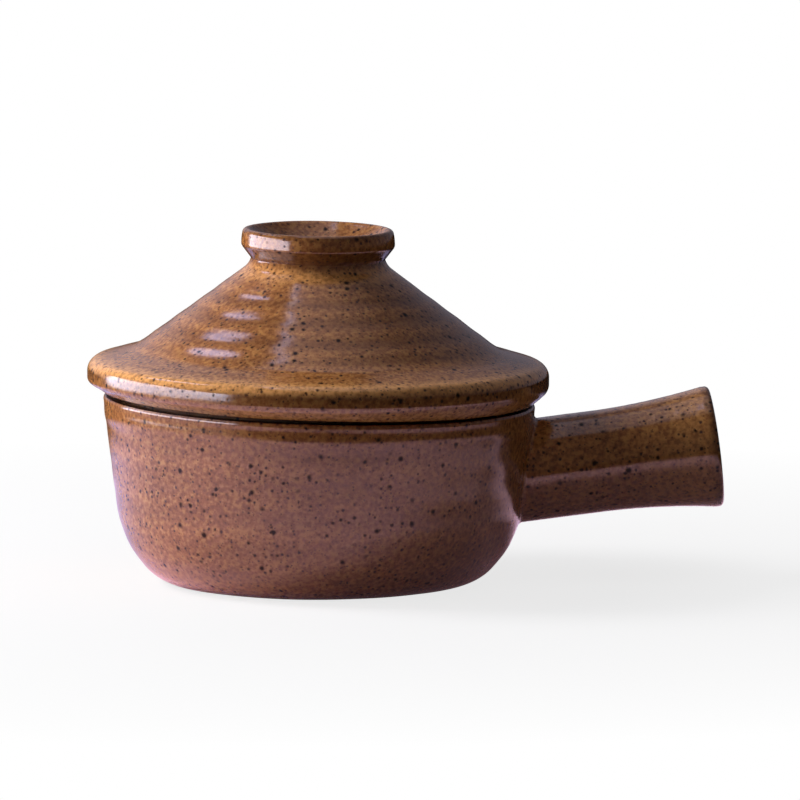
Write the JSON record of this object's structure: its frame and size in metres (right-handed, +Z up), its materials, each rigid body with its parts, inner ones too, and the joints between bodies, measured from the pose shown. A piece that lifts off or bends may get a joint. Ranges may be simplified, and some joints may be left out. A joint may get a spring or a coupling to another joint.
{
  "type": "clay stew pot",
  "caption": "Wheel-thrown stoneware stew pot in speckled amber-brown glaze, with a hollow flared side handle and a ringed conical lid with a dished knob that lifts straight off.",
  "frame": {"origin": "centre of the foot, on the surface that the pot stands on", "axes": "+Z up along the axis of the bowl and lid, +X out along the side handle"},
  "size_m": [0.247, 0.18, 0.1382],
  "materials": {
    "iron_glaze": "glossy speckled amber-brown iron glaze over thrown stoneware",
    "bare_stoneware": "bare fired stoneware, wiped clean of glaze"
  },
  "bodies": {
    "pot": {"bowl": "iron_glaze", "handle": "iron_glaze", "joint_coil": "iron_glaze"},
    "cover": {"lid": "iron_glaze", "locating_ring": "bare_stoneware", "knob": "iron_glaze"}
  },
  "joints": [
    {"name": "lid_lift", "type": "slide", "parent": "pot", "child": "cover", "axis": [0, 0, 1], "range_m": [0, 0.08]}
  ]
}
